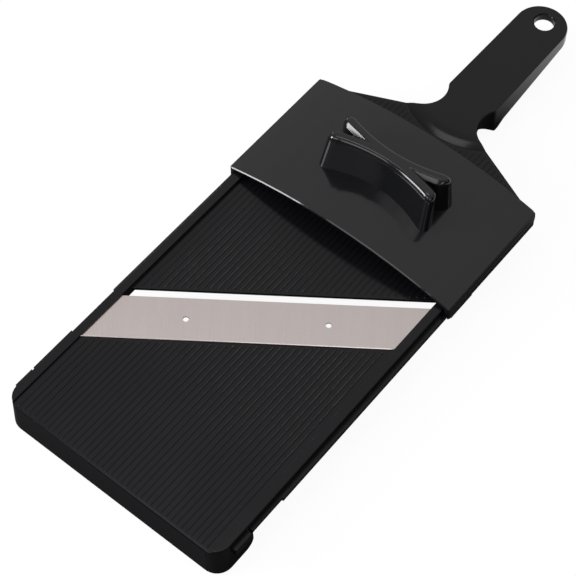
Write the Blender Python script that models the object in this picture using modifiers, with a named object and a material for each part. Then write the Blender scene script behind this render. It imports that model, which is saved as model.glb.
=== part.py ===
"""Cabbage slicer: a board with a slanted blade, and a guard that slides along its rails.

Metres, +Z up. Every position is measured from the front edge of the exit table,
at the height of its rib tops: X to the right, Y towards the handle.
An empty at that point carries the whole object, and it stands so that the
object's lowest face is at Z = 0 and its length is centred on Y = 0.
"""

import math

import bmesh
import bpy
from mathutils import Matrix

# Clearances
GAP = 0.0003
PRESS_GAP = 0.0001
OVERRUN = 0.004
OVERLAP = 0.0006
WELD = 0.000002

# Board, seen from above
LENGTH = 0.3953
RAIL_SPAN = 0.1434
RAIL_WIDTH = 0.0052
FRONT_CORNER_RADIUS = 0.0095
HANDLE_REACH = 0.1297
SHOULDER_RADIUS = 0.006
SHOULDER_SLOPE = 0.446
NECK_RADIUS = 0.015
NECK_WIDTH = 0.0266
HANDLE_WIDTH = 0.033
HANDLE_TIP_WIDTH = 0.0316
HANDLE_CORNER_RADIUS = 0.004

# Slope where the entry table rises to the handle
ROOT_ARC_RADIUS = 0.046
ROOT_ARC_SETBACK = 0.0104
ROOT_SLOPE_RUN = 0.0095
ROOT_STEP = 0.0004

# Board, heights
RAIL_RISE = 0.0010
RIB_HEIGHT = 0.0003
TABLE_THICKNESS = 0.0030
SLICE_THICKNESS = 0.0010
SIDE_DEPTH = 0.0065
EDGE_ROUND = 0.0008
TABLE_EDGE_ROUND = 0.0012
FRONT_DEPTH = 0.0217

# Ribs of the two tables
RIB_PITCH = 0.0033
RIB_WIDTH = 0.0013
RIB_SIDE_SLOPE = 0.0003
RIB_SIDE_MARGIN = 0.0012
RIB_END_MARGIN = 0.0013

# Flanges that carry the guard, and its stops
FLANGE_REACH = 0.0027
FLANGE_THICKNESS = 0.0028
FLANGE_LIFT = 0.0002
RELIEF_DEPTH = 0.0009
STOP_START = 0.0105
STOP_END = 0.0225
STOP_DROP = 0.0026
STOP_SLIT = 0.0015
RIGHT_RELIEF_END = 0.047
LEFT_RELIEF_START = 0.053
LEFT_RELIEF_END = 0.086
REAR_STOP_LENGTH = 0.0012
REAR_STOP_HEIGHT = 0.0010

# Front foot
FOOT_WALL = 0.0025
FOOT_RETURN = 0.026
FOOT_REAR_RADIUS = 0.006
FOOT_LEAN = 0.0009

# Handle
SKIRT_WALL = 0.0022
HANDLE_TOP_THICKNESS = 0.0024
HEEL_SETBACK = 0.033
HEEL_RAMP = 0.0135
HEEL_WALL = 0.0030
HEEL_RUNOUT = 0.006
HEEL_DEPTH = 0.0183
SKIRT_DEPTH = 0.0163
TIP_DEPTH = 0.0060
HANG_HOLE_DIAMETER = 0.0121
HANG_HOLE_INSET = 0.0120
HANG_HOLE_FLARE = 0.0008
HANG_BOSS_WALL = 0.0022
HANG_BOSS_DEPTH = 0.0048

# Blade
BLADE_WIDTH = 0.026
BLADE_THICKNESS = 0.0009
BLADE_REAR_AT_CENTRE = 0.1008
BLADE_ANGLE = math.radians(36.0)
BLADE_DROP = 0.0001
BLADE_IN_RAIL = 0.0037
BLADE_BEVEL = 0.0028
BLADE_EDGE_THICKNESS = 0.00008
BLADE_HOLE_DIAMETER = 0.0032
BLADE_HOLE_SPACING = 0.0754
BLADE_LEDGE = 0.0035
THROAT_GAP = 0.0058

# Guard plate
GUARD_LENGTH = 0.0812
GUARD_SETBACK = 0.0002
GUARD_ARCH_RISE = 0.010
GUARD_EDGE_HEIGHT = 0.0030
GUARD_THICKNESS = 0.0020
GUARD_LIP_THICKNESS = 0.0011
GUARD_LIP_STEP = 0.0003
GUARD_LIP_STEP_HEIGHT = 0.0020
GUARD_FOLD_RADIUS = 0.0010
GUARD_FRONT_CORNER = 0.0022
GUARD_REAR_CORNER = 0.0024
GUARD_EDGE_ROUND = 0.0005
TOE_THICKNESS = 0.0011
TOE_REACH = 0.0006
RIGHT_TOE_OFFSET = 0.0030
RIGHT_TOE_LENGTH = 0.019
LEFT_TOE_OFFSET = 0.0350
LEFT_TOE_LENGTH = 0.024

# Grip on the guard
GRIP_LENGTH = 0.0765
GRIP_OFFSET = 0.0012
GRIP_HEIGHT = 0.0225
GRIP_END_DEPTH = 0.0286
GRIP_WAIST_DEPTH = 0.0126
GRIP_NOTCH_WIDTH = 0.0100
GRIP_NOTCH_START = 0.0135
GRIP_END_ROUND_SHARE = 0.37
GRIP_TOP_ROUND = 0.0022
GRIP_TOP_DEPTH_SHARE = 0.70
GRIP_TOP_LENGTH_SHARE = 0.93

# Pin carrier and pins under the guard
CARRIER_LENGTH = 0.052
CARRIER_WIDTH = 0.074
CARRIER_THICKNESS = 0.0022
CARRIER_CORNER = 0.006
PIN_LENGTH = 0.0072
PIN_DIAMETER = 0.0020
PIN_POINT = 0.0030
PIN_POINT_DIAMETER = 0.0003
PIN_HEAD_DIAMETER = 0.0040
PIN_HEAD_HEIGHT = 0.0008
PIN_SIDE_MARGIN = 0.007
PIN_END_MARGIN = 0.006

# Screws that hold the grip and the carrier to the guard plate
GRIP_SCREW_SPACING = 0.016
GRIP_SCREW_DIAMETER = 0.0028
GRIP_SCREW_HEAD_DIAMETER = 0.0056
GRIP_SCREW_HEAD_HEIGHT = 0.0020
GRIP_SCREW_LENGTH = 0.0160
SCREW_CROWN_SHARE = 1 / 3
SCREW_TIP_SHARE = 2 / 3

# Counts and angles
PIN_COLUMNS = 4
ARC_STEPS = 10
ARCH_STEPS = 40
PROFILE_STEPS = 28
ROUND_STEPS = 32
ROOT_STEPS = 96
SCREW_STEPS = 12
SHARP_ANGLE = math.radians(30)
FLAT_ANGLE = math.radians(0.05)

# Worked out from the sizes above
SHOULDER_START = LENGTH - HANDLE_REACH
ROOT_CENTRE = SHOULDER_START + ROOT_ARC_SETBACK + ROOT_ARC_RADIUS
HEEL_START = SHOULDER_START + HEEL_SETBACK
HEEL_FLAT_START = HEEL_START + HEEL_RAMP
HEEL_END = HEEL_FLAT_START + HEEL_WALL
HANG_HOLE_CENTRE = LENGTH - HANG_HOLE_INSET
HALF_SPAN = RAIL_SPAN / 2
FIELD_HALF = HALF_SPAN - RAIL_WIDTH
TABLE_BASE = -RIB_HEIGHT
TABLE_UNDERSIDE = TABLE_BASE - TABLE_THICKNESS
ENTRY_TOP = -SLICE_THICKNESS
FLANGE_HALF = HALF_SPAN + FLANGE_REACH
FLANGE_BOTTOM = FLANGE_LIFT - SIDE_DEPTH
FLANGE_TOP = FLANGE_BOTTOM + FLANGE_THICKNESS
BLADE_SLOPE = math.tan(BLADE_ANGLE)
BLADE_RUN = BLADE_WIDTH / math.cos(BLADE_ANGLE)
LEDGE_RUN = BLADE_LEDGE / math.cos(BLADE_ANGLE)
THROAT_RUN = THROAT_GAP / math.cos(BLADE_ANGLE)
BLADE_TOP = -BLADE_DROP
BLADE_BOTTOM = BLADE_TOP - BLADE_THICKNESS
SIDE_LEAN = FOOT_LEAN * (RAIL_RISE - FLANGE_TOP) / (RAIL_RISE + FRONT_DEPTH)
GUARD_END = SHOULDER_START - GUARD_SETBACK
GUARD_REST = GUARD_END - GUARD_LENGTH
GUARD_MIDDLE = GUARD_REST + GUARD_LENGTH / 2
FLANGE_END = GUARD_END + GAP + REAR_STOP_LENGTH
GUARD_LIP_INNER = FLANGE_HALF + GAP
GUARD_LIP_BOTTOM = FLANGE_BOTTOM - GAP
GUARD_HALF = GUARD_LIP_INNER + GUARD_LIP_THICKNESS
ARCH_HALF = GUARD_HALF - GUARD_LIP_STEP - GUARD_FOLD_RADIUS
ARCH_RADIUS = (ARCH_HALF**2 + GUARD_ARCH_RISE**2) / (2 * GUARD_ARCH_RISE)
ARCH_TOP = GUARD_EDGE_HEIGHT + GUARD_ARCH_RISE
GUARD_TRAVEL = GUARD_REST + RIGHT_TOE_OFFSET - STOP_END - GAP
PIN_COLUMN_PITCH = (CARRIER_WIDTH - 2 * PIN_SIDE_MARGIN) / (PIN_COLUMNS - 1)
PIN_ROW_PITCH = CARRIER_LENGTH / 2 - PIN_END_MARGIN


def clear_scene():
    for old in list(bpy.data.objects):
        bpy.data.objects.remove(old, do_unlink=True)


def new_collection(name, drawn):
    group = bpy.data.collections.new(name)
    bpy.context.scene.collection.children.link(group)
    group.hide_render = not drawn
    return group


clear_scene()
PARTS = new_collection("cabbage_slicer", True)
CUTTERS = new_collection("cutters", False)
DATUM = bpy.data.objects.new("table_datum", None)
DATUM.location = (0, (FOOT_LEAN - LENGTH) / 2, FRONT_DEPTH)
PARTS.objects.link(DATUM)


def plastic(name, colour, roughness):
    material = bpy.data.materials.new(name)
    material.use_nodes = True
    shader = material.node_tree.nodes["Principled BSDF"]
    shader.inputs["Base Color"].default_value = (*colour, 1)
    shader.inputs["Roughness"].default_value = roughness
    return material


def steel(name, colour, roughness):
    material = plastic(name, colour, roughness)
    material.node_tree.nodes["Principled BSDF"].inputs["Metallic"].default_value = 1
    return material


# Outlines, as lists of points in a plane


def arc(centre, radius, start, end, steps=ARC_STEPS):
    """Points round a circle from one angle to another, in degrees."""
    angles = [math.radians(start + (end - start) * i / steps) for i in range(steps + 1)]
    return [(centre[0] + radius * math.cos(a), centre[1] + radius * math.sin(a)) for a in angles]


def mirrored(half):
    """An outline from its right half, which runs from the front to the back."""
    return half + [(-x, y) for x, y in reversed(half) if x > WELD]


def rectangle(x_low, x_high, y_low, y_high):
    return [(x_low, y_low), (x_high, y_low), (x_high, y_high), (x_low, y_high)]


def rounded_rectangle(half_x, y_low, y_high, front_radius, rear_radius):
    front = arc((half_x - front_radius, y_low + front_radius), front_radius, -90, 0)
    rear = arc((half_x - rear_radius, y_high - rear_radius), rear_radius, 0, 90)
    return mirrored(front + rear)


def shoulder_line(x):
    """Where the shoulder's straight edge lies, at a distance x from the middle."""
    return SHOULDER_START + SHOULDER_SLOPE * (HALF_SPAN - x)


def rail_behind_shoulder():
    """The rail's width along the shoulder, measured along the board."""
    return RAIL_WIDTH * math.hypot(1, SHOULDER_SLOPE)


def neck_centre():
    """The centre of the round notch between the shoulder and the handle."""
    x = NECK_WIDTH / 2 + NECK_RADIUS
    return x, shoulder_line(x) + NECK_RADIUS * math.hypot(1, SHOULDER_SLOPE)


def handle_corner():
    """The centre of the handle's front corner, where it touches the notch's circle."""
    x = HANDLE_WIDTH / 2 - HANDLE_CORNER_RADIUS
    notch_x, notch_y = neck_centre()
    reach = NECK_RADIUS + HANDLE_CORNER_RADIUS
    return x, notch_y + math.sqrt(reach**2 - (notch_x - x) ** 2)


def handle_side():
    """The right side of the handle from the notch to the tip."""
    notch, corner = neck_centre(), handle_corner()
    meeting = math.degrees(math.atan2(corner[1] - notch[1], corner[0] - notch[0]))
    tip = HANDLE_TIP_WIDTH / 2
    points = arc(notch, NECK_RADIUS, 180, meeting)
    points += arc(corner, HANDLE_CORNER_RADIUS, meeting - 180, 0, ARC_STEPS // 2)[1:]
    points += arc((0, LENGTH - tip), tip, 0, 90, 2 * ARC_STEPS)
    return points


def board_outline():
    """The whole board seen from above, without its flanges."""
    lean = math.degrees(math.atan(SHOULDER_SLOPE))
    corner = (HALF_SPAN - FRONT_CORNER_RADIUS, FRONT_CORNER_RADIUS)
    bend = SHOULDER_RADIUS * math.tan(math.radians(90 - lean) / 2)
    shoulder = (HALF_SPAN - SHOULDER_RADIUS, SHOULDER_START - bend)
    half = arc(corner, FRONT_CORNER_RADIUS, -90, 0)
    half += arc(shoulder, SHOULDER_RADIUS, 0, 90 - lean)
    half += arc(neck_centre(), NECK_RADIUS, 270 - lean, 180)
    half += handle_side()[1:]
    return mirrored(half)


def field_rear(x, past=0):
    """The back edge of the entry table: the root's arc, or a little past the shoulder."""
    edge = shoulder_line(abs(x)) + past
    if abs(x) >= ROOT_ARC_RADIUS:
        return edge
    return min(edge, ROOT_CENTRE - math.sqrt(ROOT_ARC_RADIUS**2 - x**2))


def blade_rear(x):
    return BLADE_REAR_AT_CENTRE + BLADE_SLOPE * x


def slanted(half, y_from, y_to):
    """A strip along the blade, between two distances behind its rear edge along Y."""
    left, right = blade_rear(-half), blade_rear(half)
    return [(-half, left + y_from), (half, right + y_from), (half, right + y_to), (-half, left + y_to)]


# Solids

PLAN = Matrix.Identity(4)
SIDE_VIEW = Matrix(((0, 0, 1, 0), (1, 0, 0, 0), (0, 1, 0, 0), (0, 0, 0, 1)))
FRONT_VIEW = Matrix(((1, 0, 0, 0), (0, 0, -1, 0), (0, 1, 0, 0), (0, 0, 0, 1)))


def put(name, mesh, group):
    """An object with this mesh, carried by the datum."""
    made = bpy.data.objects.new(name, mesh)
    made.parent = DATUM
    group.objects.link(made)
    if group is CUTTERS:
        made.hide_render = True
        made.display_type = "WIRE"
    return made


def clean_mesh(mesh):
    """Welds a mesh, joins its flat triangles into whole faces and turns it outwards."""
    work = bmesh.new()
    work.from_mesh(mesh)
    bmesh.ops.remove_doubles(work, verts=work.verts, dist=WELD)
    bmesh.ops.dissolve_limit(
        work, angle_limit=FLAT_ANGLE, verts=work.verts, edges=work.edges
    )
    bmesh.ops.recalc_face_normals(work, faces=work.faces)
    work.to_mesh(mesh)
    work.free()


def extruded(name, points, low, high, group, view=PLAN):
    """A flat outline drawn in a view and given a depth between two levels."""
    curve = bpy.data.curves.new(name + "_outline", "CURVE")
    curve.dimensions = "2D"
    curve.fill_mode = "BOTH"
    curve.extrude = (high - low) / 2
    line = curve.splines.new("POLY")
    line.points.add(len(points) - 1)
    for point, (u, v) in zip(line.points, points):
        point.co = (u, v, 0, 1)
    line.use_cyclic_u = True
    drawn = bpy.data.objects.new(name + "_outline", curve)
    bpy.context.scene.collection.objects.link(drawn)
    graph = bpy.context.evaluated_depsgraph_get()
    mesh = bpy.data.meshes.new_from_object(drawn.evaluated_get(graph))
    bpy.data.objects.remove(drawn, do_unlink=True)
    clean_mesh(mesh)
    for vertex in mesh.vertices:
        vertex.co.z = high if vertex.co.z > 0 else low
    mesh.transform(view)
    mesh.name = name
    return put(name, mesh, group)


def round_rim(solid, level, width, segments=2, axis=2):
    """Rounds the edges that lie at one level of the solid."""
    work = bmesh.new()
    work.from_mesh(solid.data)
    rim = [e for e in work.edges if all(abs(v.co[axis] - level) < WELD for v in e.verts)]
    bmesh.ops.bevel(
        work,
        geom=rim,
        offset=width,
        offset_type="OFFSET",
        segments=segments,
        profile=0.5,
        affect="EDGES",
        clamp_overlap=True,
        material=-1,
    )
    work.to_mesh(solid.data)
    work.free()
    return solid


def taper(solid, low, high, centre, x_share, y_share):
    """Narrows a solid steadily from one level to another, about an upright line."""
    for vertex in solid.data.vertices:
        part = (vertex.co.z - low) / (high - low)
        vertex.co.x = centre[0] + (vertex.co.x - centre[0]) * (1 + part * (x_share - 1))
        vertex.co.y = centre[1] + (vertex.co.y - centre[1]) * (1 + part * (y_share - 1))
    return solid


def turned(name, profile, steps, place, group):
    """A profile of (radius, height) points, top first, turned about an upright axis."""
    work = bmesh.new()
    ring = [work.verts.new((radius, 0, height)) for radius, height in profile]
    for one, two in zip(ring, ring[1:]):
        work.edges.new((one, two))
    mesh = bpy.data.meshes.new(name)
    work.to_mesh(mesh)
    work.free()
    made = put(name, mesh, group)
    made.location = place
    screw = made.modifiers.new("Turn", "SCREW")
    screw.axis = "Z"
    screw.steps = steps
    screw.render_steps = steps
    screw.use_merge_vertices = True
    screw.merge_threshold = WELD
    screw.use_smooth_shade = True
    return made


def cylinder(name, radius, low, high, place, steps=ROUND_STEPS):
    """A round cutter between two heights."""
    profile = [(0, high), (radius, high), (radius, low), (0, low)]
    return turned(name, profile, steps, place, CUTTERS)


def combine(solid, operation, other):
    """One Boolean step, kept as a modifier."""
    step = solid.modifiers.new(other.name, "BOOLEAN")
    step.operation = operation
    step.solver = "EXACT"
    step.object = other


def join(solid, *others):
    for other in others:
        combine(solid, "UNION", other)


def cut(solid, *others):
    for other in others:
        combine(solid, "DIFFERENCE", other)


def keep(solid, other):
    combine(solid, "INTERSECT", other)


def dress(solid, material):
    solid.data.materials.clear()
    solid.data.materials.append(material)
    solid.data.shade_smooth()
    solid.data.set_sharp_from_angle(angle=SHARP_ANGLE)


# Board


def board_block():
    """The whole board as a block with rounded upper edges, a little wider at its base."""
    block = extruded("board", board_outline(), -FRONT_DEPTH, RAIL_RISE, PARTS)
    wider, longer = 1 + FOOT_LEAN / HALF_SPAN, 1 + FOOT_LEAN / LENGTH
    taper(block, RAIL_RISE, -FRONT_DEPTH, (0, LENGTH), wider, longer)
    return round_rim(block, RAIL_RISE, EDGE_ROUND)


def skirt_depth(y):
    """How deep the handle's side walls reach: most at the heel and least at the tip."""
    along = (y - HEEL_END) / (LENGTH - HEEL_END)
    depth = SKIRT_DEPTH + (TIP_DEPTH - SKIRT_DEPTH) * along
    heel = min(max(1 - (y - HEEL_END) / HEEL_RUNOUT, 0), 1)
    return depth + (HEEL_DEPTH - SKIRT_DEPTH) * heel * heel * (3 - 2 * heel)


def underside_trim():
    """Clears what lies below the sides, between the foot and the heel, and below the handle."""
    deep = -FRONT_DEPTH - OVERRUN
    corner = (FOOT_RETURN - FOOT_REAR_RADIUS, FOOT_REAR_RADIUS - FRONT_DEPTH)
    curve = [HEEL_END + (LENGTH - HEEL_END) * i / PROFILE_STEPS for i in range(PROFILE_STEPS + 1)]
    outline = [(corner[0], deep), *arc(corner, FOOT_REAR_RADIUS, -90, 0)]
    outline += [(FOOT_RETURN, -SIDE_DEPTH), (HEEL_START, -SIDE_DEPTH)]
    outline.append((HEEL_FLAT_START, -HEEL_DEPTH))
    outline += [(y, -skirt_depth(y)) for y in curve]
    outline += [(LENGTH + OVERRUN, -TIP_DEPTH), (LENGTH + OVERRUN, deep)]
    return extruded("underside", outline, -FLANGE_HALF, FLANGE_HALF, CUTTERS, SIDE_VIEW)


def table_pocket():
    """The hollow under the tables, with a tongue under the neck."""
    radius = FRONT_CORNER_RADIUS - FOOT_WALL
    tongue = NECK_WIDTH / 2 - SKIRT_WALL
    half = arc((FIELD_HALF - radius, FRONT_CORNER_RADIUS), radius, -90, 0)
    half.append((FIELD_HALF, shoulder_line(FIELD_HALF) - rail_behind_shoulder()))
    half.append((tongue, shoulder_line(tongue) - rail_behind_shoulder()))
    half.append((tongue, HEEL_FLAT_START))
    return extruded("table_pocket", mirrored(half), -FRONT_DEPTH - OVERRUN, TABLE_UNDERSIDE, CUTTERS)


def handle_pocket():
    """The hollow under the handle, behind the heel's cross wall."""
    tip = HANDLE_TIP_WIDTH / 2
    half = [(HANDLE_WIDTH / 2 - SKIRT_WALL, HEEL_END)]
    half += arc((0, LENGTH - tip), tip - SKIRT_WALL, 0, 90)
    top = RAIL_RISE - HANDLE_TOP_THICKNESS
    return extruded("handle_pocket", mirrored(half), -FRONT_DEPTH - OVERRUN, top, CUTTERS)


def hanging_boss():
    """The ring of material round the hanging hole, under the handle's top."""
    radius = HANG_HOLE_DIAMETER / 2 + HANG_BOSS_WALL
    return cylinder("hanging_boss", radius, -HANG_BOSS_DEPTH, 0, (0, HANG_HOLE_CENTRE, 0))


def hanging_hole():
    """The through hole, flared at both faces."""
    radius = HANG_HOLE_DIAMETER / 2
    wide = radius + HANG_HOLE_FLARE + OVERRUN
    top, low = RAIL_RISE, -HANG_BOSS_DEPTH
    profile = [(0, top + OVERRUN), (wide, top + OVERRUN), (radius, top - HANG_HOLE_FLARE)]
    profile += [(radius, low + HANG_HOLE_FLARE), (wide, low - OVERRUN), (0, low - OVERRUN)]
    return turned("hanging_hole", profile, ROUND_STEPS, (0, HANG_HOLE_CENTRE, 0), CUTTERS)


def side_block(side, low, high, bottom, top, name):
    """A block on one side, from inside the rail to the flange's outer edge."""
    span = sorted((side * (FIELD_HALF + GAP), side * FLANGE_HALF))
    return extruded(name, rectangle(*span, low, high), bottom, top, CUTTERS)


def rail_flange(side, low, high, name):
    """One side's flange, cut narrower where the guard's toe can lift off."""
    inner = HALF_SPAN - RAIL_WIDTH / 2
    narrow = FLANGE_HALF - RELIEF_DEPTH
    start = STOP_END + STOP_SLIT
    edge = [(inner, start)]
    if low > start:
        edge += [(FLANGE_HALF, start), (FLANGE_HALF, low)]
    edge += [(narrow, low), (narrow, high), (FLANGE_HALF, high)]
    edge += [(FLANGE_HALF, FLANGE_END), (inner, FLANGE_END)]
    points = [(side * x, y) for x, y in edge]
    return extruded(name, points, FLANGE_BOTTOM, FLANGE_TOP, CUTTERS)


def rail_fittings():
    """The flanges, the front stops that the guard's toes meet, and the rear stops."""
    made = [rail_flange(1, STOP_END + STOP_SLIT, RIGHT_RELIEF_END, "right_flange")]
    made.append(rail_flange(-1, LEFT_RELIEF_START, LEFT_RELIEF_END, "left_flange"))
    low = -SIDE_DEPTH - STOP_DROP
    for side, name in ((1, "right"), (-1, "left")):
        made.append(side_block(side, STOP_START, STOP_END, low, FLANGE_TOP, name + "_front_stop"))
        made.append(side_block(side, GUARD_END + GAP, FLANGE_END, FLANGE_BOTTOM,
                               FLANGE_TOP + REAR_STOP_HEIGHT, name + "_rear_stop"))
    return made


def exit_field():
    """Clears the exit table down to its base, and rounds its front edge."""
    top = RAIL_RISE + OVERRUN
    rear = blade_rear(FIELD_HALF) + BLADE_RUN
    edge = TABLE_EDGE_ROUND
    side = [(-OVERRUN, top), (-OVERRUN, TABLE_BASE - edge)]
    side += arc((edge, TABLE_BASE - edge), edge, 180, 90)
    side += [(rear, TABLE_BASE), (rear, top)]
    field = extruded("exit_field", side, -FIELD_HALF, FIELD_HALF, CUTTERS, SIDE_VIEW)
    limit = slanted(HALF_SPAN, -LENGTH, BLADE_RUN / 2)
    keep(field, extruded("exit_limit", limit, -SIDE_DEPTH, top + OVERRUN, CUTTERS))
    return field


def entry_field():
    """Clears the entry table down to its base, lower by the thickness of a slice."""
    outline = slanted(FIELD_HALF, BLADE_RUN / 2, BLADE_RUN)[:2]
    for i in range(2 * PROFILE_STEPS + 1):
        x = FIELD_HALF * (1 - i / PROFILE_STEPS)
        outline.append((x, field_rear(x, OVERRUN)))
    return extruded("entry_field", outline, ENTRY_TOP - RIB_HEIGHT, RAIL_RISE + OVERRUN, CUTTERS)


def root_slope():
    """Clears the handle's root down to a convex slope that ends at the entry table."""
    inner, outer = ROOT_ARC_RADIUS - ROOT_SLOPE_RUN, ROOT_ARC_RADIUS + OVERLAP
    drop = RAIL_RISE - ENTRY_TOP + RIB_HEIGHT - ROOT_STEP
    profile = [(0, RAIL_RISE + OVERRUN), (outer, RAIL_RISE + OVERRUN)]
    for i in range(ARC_STEPS + 1):
        radius = outer - (outer - inner) * i / ARC_STEPS
        profile.append((radius, RAIL_RISE - drop * ((radius - inner) / ROOT_SLOPE_RUN) ** 2))
    profile.append((0, RAIL_RISE + OVERLAP))
    slope = turned("root_slope", profile, ROOT_STEPS, (0, ROOT_CENTRE, 0), CUTTERS)
    front = rectangle(-ROOT_CENTRE, ROOT_CENTRE, SHOULDER_START, HEEL_START)
    keep(slope, extruded("root_limit", front, -SIDE_DEPTH, FRONT_DEPTH, CUTTERS))
    return slope


def throat():
    """The slanted opening that the slices fall through."""
    outline = slanted(FIELD_HALF, LEDGE_RUN, BLADE_RUN + THROAT_RUN)
    return extruded("throat", outline, -FRONT_DEPTH, RAIL_RISE + OVERRUN, CUTTERS)


def blade_seat():
    """The step on the exit table that the blade's rear edge lies on."""
    outline = slanted(FIELD_HALF, -GAP / math.cos(BLADE_ANGLE), BLADE_RUN / 2)
    return extruded("blade_seat", outline, BLADE_BOTTOM - GAP, RAIL_RISE + OVERRUN, CUTTERS)


def blade_slots():
    """The slots in both rails that the blade's ends are moulded into."""
    clear = 2 * GAP / math.cos(BLADE_ANGLE)
    outline = slanted(FIELD_HALF + BLADE_IN_RAIL + GAP, -clear, BLADE_RUN + clear)
    return extruded("blade_slots", outline, BLADE_BOTTOM - GAP, BLADE_TOP + GAP, CUTTERS)


def rib_places():
    """Where the ribs stand across the field, the middle one on the centre line."""
    count = int((FIELD_HALF - RIB_SIDE_MARGIN - RIB_WIDTH / 2) / RIB_PITCH)
    return [i * RIB_PITCH for i in range(-count, count + 1)]


def rib_bars(name, spans, base):
    """Straight ribs along the board, each with its upper edges sloped."""
    work = bmesh.new()
    for x, low, high in spans:
        size = Matrix.Diagonal((RIB_WIDTH, high - low, RIB_HEIGHT + OVERLAP, 1))
        middle = Matrix.Translation((x, (low + high) / 2, base + (RIB_HEIGHT - OVERLAP) / 2))
        made = bmesh.ops.create_cube(work, size=1, matrix=middle @ size)
        for vertex in [v for v in made["verts"] if v.co.z > base]:
            vertex.co.x += math.copysign(RIB_SIDE_SLOPE, x - vertex.co.x)
            vertex.co.y += math.copysign(RIB_SIDE_SLOPE, (low + high) / 2 - vertex.co.y)
    mesh = bpy.data.meshes.new(name)
    work.to_mesh(mesh)
    work.free()
    return put(name, mesh, CUTTERS)


def exit_ribs():
    spans = []
    for x in rib_places():
        front = RIB_END_MARGIN
        beside = abs(x) + RIB_WIDTH - (HALF_SPAN - FRONT_CORNER_RADIUS)
        if beside > 0:
            front += FRONT_CORNER_RADIUS - math.sqrt(FRONT_CORNER_RADIUS**2 - beside**2)
        spans.append((x, front, blade_rear(x) - RIB_WIDTH * BLADE_SLOPE - RIB_END_MARGIN))
    return rib_bars("exit_ribs", spans, TABLE_BASE)


def entry_ribs():
    spans = []
    for x in rib_places():
        edge = blade_rear(x) + BLADE_RUN + THROAT_RUN
        start = edge + RIB_WIDTH * BLADE_SLOPE + RIB_END_MARGIN / 2
        back = min(field_rear(x), field_rear(abs(x) + RIB_WIDTH), field_rear(abs(x) - RIB_WIDTH))
        spans.append((x, start, back - RIB_END_MARGIN))
    return rib_bars("entry_ribs", spans, ENTRY_TOP - RIB_HEIGHT)


def make_board(material):
    board = board_block()
    cut(board, underside_trim(), table_pocket(), handle_pocket())
    join(board, hanging_boss(), *rail_fittings())
    cut(board, exit_field(), entry_field(), root_slope())
    cut(board, throat(), blade_seat(), blade_slots(), hanging_hole())
    join(board, exit_ribs(), entry_ribs())
    dress(board, material)


# Blade


def edge_grinder():
    """Takes the blade's underside away in a slope that ends at its cutting edge."""
    run = BLADE_BEVEL / math.cos(BLADE_ANGLE)
    outline = slanted(HALF_SPAN, BLADE_RUN - 2 * run, BLADE_RUN + run)
    low = BLADE_BOTTOM - 2 * BLADE_THICKNESS
    grinder = extruded("edge_grinder", outline, low, BLADE_BOTTOM, CUTTERS)
    rise = (BLADE_THICKNESS - BLADE_EDGE_THICKNESS) / run
    for vertex in grinder.data.vertices:
        if vertex.co.z > low + WELD:
            vertex.co.z += (vertex.co.y - blade_rear(vertex.co.x) - BLADE_RUN + run) * rise
    return grinder


def make_blade(material):
    """A slanted strip of steel with two round holes, its ends inside the rails."""
    outline = slanted(FIELD_HALF + BLADE_IN_RAIL, 0, BLADE_RUN)
    blade = extruded("blade", outline, BLADE_BOTTOM, BLADE_TOP, PARTS)
    cut(blade, edge_grinder())
    side = BLADE_HOLE_SPACING / 2 * math.cos(BLADE_ANGLE)
    for x, name in ((-side, "left"), (side, "right")):
        place = (x, blade_rear(x) + BLADE_RUN / 2, 0)
        low, high = BLADE_BOTTOM - OVERRUN, BLADE_TOP + OVERRUN
        cut(blade, cylinder("blade_hole_" + name, BLADE_HOLE_DIAMETER / 2, low, high, place))
    dress(blade, material)


# Guard


def arch_height(x):
    """The height of the guard plate's top surface."""
    return ARCH_TOP - ARCH_RADIUS + math.sqrt(ARCH_RADIUS**2 - x**2)


def arch_line(half, drop):
    """Points along the arch from right to left, a distance below its top surface."""
    radius = ARCH_RADIUS - drop
    reach = math.degrees(math.asin(half / radius))
    return arc((0, ARCH_TOP - ARCH_RADIUS), radius, 90 - reach, 90 + reach, ARCH_STEPS)


def guard_section():
    """The guard seen from the front: its arch, runners and the lips outside the flanges."""
    wall = GUARD_HALF - GUARD_LIP_STEP
    runner = HALF_SPAN + SIDE_LEAN + GAP
    seat = FLANGE_TOP + GAP
    step = seat + GUARD_LIP_STEP_HEIGHT
    fold = (wall - GUARD_FOLD_RADIUS, GUARD_EDGE_HEIGHT - GUARD_FOLD_RADIUS)
    right = [(runner, seat), (GUARD_LIP_INNER, seat), (GUARD_LIP_INNER, GUARD_LIP_BOTTOM)]
    right += [(GUARD_HALF, GUARD_LIP_BOTTOM), (GUARD_HALF, step - GUARD_LIP_STEP), (wall, step)]
    right += arc(fold, GUARD_FOLD_RADIUS, 0, 90, ARC_STEPS // 2)[:-1]
    left = [(-x, z) for x, z in reversed(right)]
    under = arch_line(runner, GUARD_THICKNESS)
    return right + arch_line(ARCH_HALF, 0) + left + under[::-1]


def guard_toe(side, offset, length, name):
    """A short toe under the flange that keeps the guard from lifting."""
    inner = FLANGE_HALF - TOE_REACH
    low, high = GUARD_LIP_BOTTOM - TOE_THICKNESS, GUARD_LIP_BOTTOM + OVERLAP
    section = [(inner, low), (GUARD_HALF, low), (GUARD_HALF, high), (GUARD_LIP_INNER, high)]
    section += [(GUARD_LIP_INNER, GUARD_LIP_BOTTOM), (inner, GUARD_LIP_BOTTOM)]
    points = [(side * x, z) for x, z in section]
    front = GUARD_REST + offset
    return extruded(name, points, -front - length, -front, CUTTERS, FRONT_VIEW)


def grip_screw_places():
    return [(-GRIP_SCREW_SPACING / 2, "left"), (GRIP_SCREW_SPACING / 2, "right")]


def screw_hole(solid, x, name):
    """A clearance hole for a grip screw."""
    radius = GRIP_SCREW_DIAMETER / 2 + GAP
    cut(solid, cylinder(name, radius, -SIDE_DEPTH, ARCH_TOP + OVERRUN, (x, GUARD_MIDDLE, 0)))


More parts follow.
